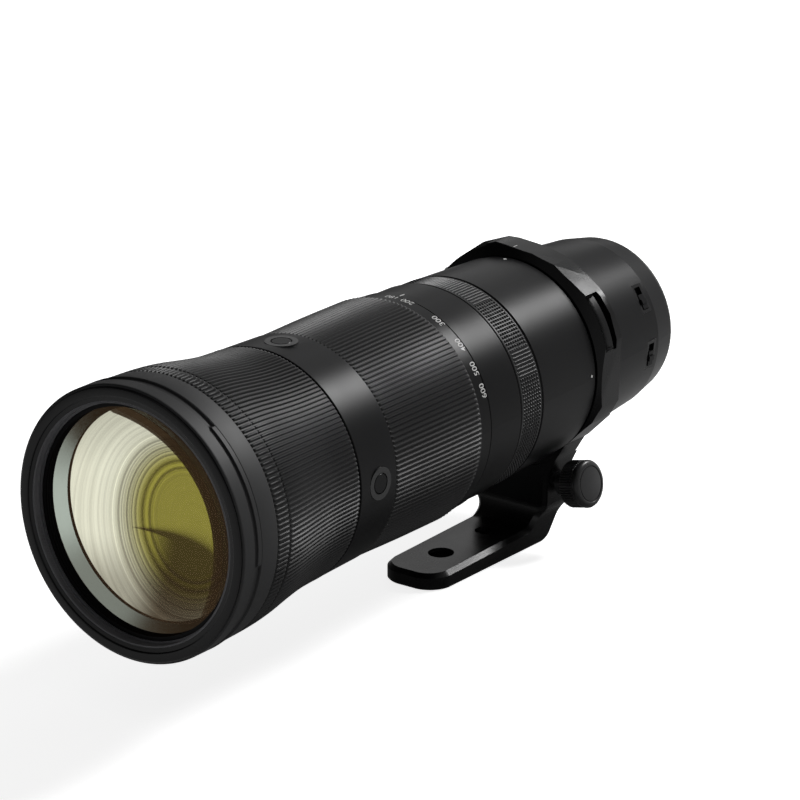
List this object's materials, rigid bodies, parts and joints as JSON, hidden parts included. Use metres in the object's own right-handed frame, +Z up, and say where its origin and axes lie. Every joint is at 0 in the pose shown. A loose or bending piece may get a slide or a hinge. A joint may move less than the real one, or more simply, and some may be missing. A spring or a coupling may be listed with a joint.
{
  "type": "telephoto zoom lens",
  "caption": "Long zoom lens with ribbed focus and zoom rings, rotating collar with foot and lock knob, function buttons, and a bayonet mount.",
  "frame": {"origin": "centre of the camera mount's flange face, on the optical axis", "axes": "+Y along the optical axis out of the mount towards the camera, so the front glass faces -Y; +Z up, away from the foot; +X to the side that the lock knob is on"},
  "size_m": [0.11, 0.3215, 0.1345],
  "materials": {
    "black_paint": "satin",
    "black_alloy": "satin",
    "bright_alloy": "satin",
    "black_plastic": "matte",
    "grip_rubber": "matte",
    "seal_rubber": "matte",
    "coated_glass": "polished",
    "clear_glass": "polished",
    "steel": "polished",
    "plated_mount": "satin",
    "gold_contact": "polished",
    "board_green": "matte"
  },
  "bodies": {
    "barrel": {"front_filter_ring": "black_alloy", "hood_bayonet_ring": "black_plastic", "name_ring": "black_plastic", "front_element": "coated_glass", "front_retainer": "black_plastic", "second_element": "clear_glass", "front_tube": "black_plastic", "button_band": "black_plastic", "button_bezels": "black_plastic", "main_barrel": "black_alloy", "mid_barrel": "black_plastic", "rear_barrel": "black_alloy", "end_barrel": "black_plastic", "switch_plates": "black_plastic", "guide_tube": "bright_alloy", "guide_flange": "bright_alloy", "iris_housing": "black_plastic", "iris_blades": "steel", "guide_rods": "steel", "focus_motor": "steel", "stabiliser_unit": "black_plastic", "stabiliser_cell": "black_plastic", "stabiliser_lens": "clear_glass", "rear_cell": "black_plastic", "rear_cell_lens": "clear_glass", "mount_plate": "plated_mount", "mount_screws": "steel", "mount_gasket": "seal_rubber", "rear_baffle": "black_plastic", "contact_block": "black_plastic", "contact_pins": "gold_contact", "rear_element": "clear_glass", "rear_lens_frame": "black_plastic", "circuit_board": "board_green"},
    "focus_ring": {"focus_sleeve": "black_plastic", "focus_grip": "grip_rubber"},
    "zoom_ring": {"zoom_sleeve": "black_plastic", "zoom_grip": "grip_rubber", "scale_band": "black_alloy", "zoom_key": "steel", "cam_barrel": "bright_alloy"},
    "control_ring": {"control_ring": "black_alloy"},
    "collar": {"collar_ring": "black_paint", "brake_shoe": "black_plastic", "foot": "black_paint", "foot_screws": "steel"},
    "lock": {"lock_knob": "black_alloy", "lock_screw": "steel"},
    "variator": {"variator_cell": "black_plastic", "variator_lens": "clear_glass"},
    "compensator": {"compensator_cell": "black_plastic", "compensator_lens": "clear_glass"},
    "focus_group": {"focus_cell": "black_plastic", "focus_lens": "clear_glass"},
    "button_right": {"fn_button_1": "black_plastic"},
    "button_top": {"fn_button_2": "black_plastic"},
    "button_left": {"fn_button_3": "black_plastic"},
    "button_bottom": {"fn_button_4": "black_plastic"},
    "mode_slider": {"focus_mode_switch": "black_plastic"},
    "limit_slider": {"limit_switch": "black_plastic"}
  },
  "joints": [
    {"name": "focus_turn", "type": "hinge", "parent": "barrel", "child": "focus_ring", "pos_m": [0, -0.264, 0], "axis": [0, -1, 0], "continuous": true},
    {"name": "zoom_turn", "type": "hinge", "parent": "barrel", "child": "zoom_ring", "pos_m": [0, -0.183, 0], "axis": [0, -1, 0], "range_deg": [0, 70]},
    {"name": "control_turn", "type": "hinge", "parent": "barrel", "child": "control_ring", "pos_m": [0, -0.1175, 0], "axis": [0, -1, 0], "continuous": true},
    {"name": "collar_turn", "type": "hinge", "parent": "barrel", "child": "collar", "pos_m": [0, -0.0618, 0], "axis": [0, -1, 0], "continuous": true},
    {"name": "lock_turn", "type": "hinge", "parent": "collar", "child": "lock", "pos_m": [0.036, -0.0615, -0.0505], "axis": [0.9781, 0, 0.2079], "range_deg": [0, 540]},
    {"name": "variator_slide", "type": "slide", "parent": "barrel", "child": "variator", "axis": [0, 1, 0], "range_m": [0, 0.024]},
    {"name": "compensator_slide", "type": "slide", "parent": "barrel", "child": "compensator", "axis": [0, 1, 0], "range_m": [0, 0.01]},
    {"name": "focus_slide", "type": "slide", "parent": "barrel", "child": "focus_group", "axis": [0, -1, 0], "range_m": [0, 0.01]},
    {"name": "button_right_press", "type": "slide", "parent": "barrel", "child": "button_right", "axis": [-1, 0, 0], "range_m": [0, 0.0007], "stiffness_N_per_m": 400},
    {"name": "button_top_press", "type": "slide", "parent": "barrel", "child": "button_top", "axis": [0, 0, -1], "range_m": [0, 0.0007], "stiffness_N_per_m": 400},
    {"name": "button_left_press", "type": "slide", "parent": "barrel", "child": "button_left", "axis": [1, 0, 0], "range_m": [0, 0.0007], "stiffness_N_per_m": 400},
    {"name": "button_bottom_press", "type": "slide", "parent": "barrel", "child": "button_bottom", "axis": [0, 0, 1], "range_m": [0, 0.0007], "stiffness_N_per_m": 400},
    {"name": "mode_switch_slide", "type": "slide", "parent": "barrel", "child": "mode_slider", "axis": [-0.515, 0, 0.8572], "range_m": [0, 0.003]},
    {"name": "limit_switch_slide", "type": "slide", "parent": "barrel", "child": "limit_slider", "axis": [0.1132, 0, 0.9936], "range_m": [0, 0.003]}
  ],
  "couplings": [
    {"joint": "variator_slide", "follows": "zoom_turn", "m_per_rad": 0.019644},
    {"joint": "compensator_slide", "follows": "zoom_turn", "m_per_rad": 0.0081851}
  ]
}
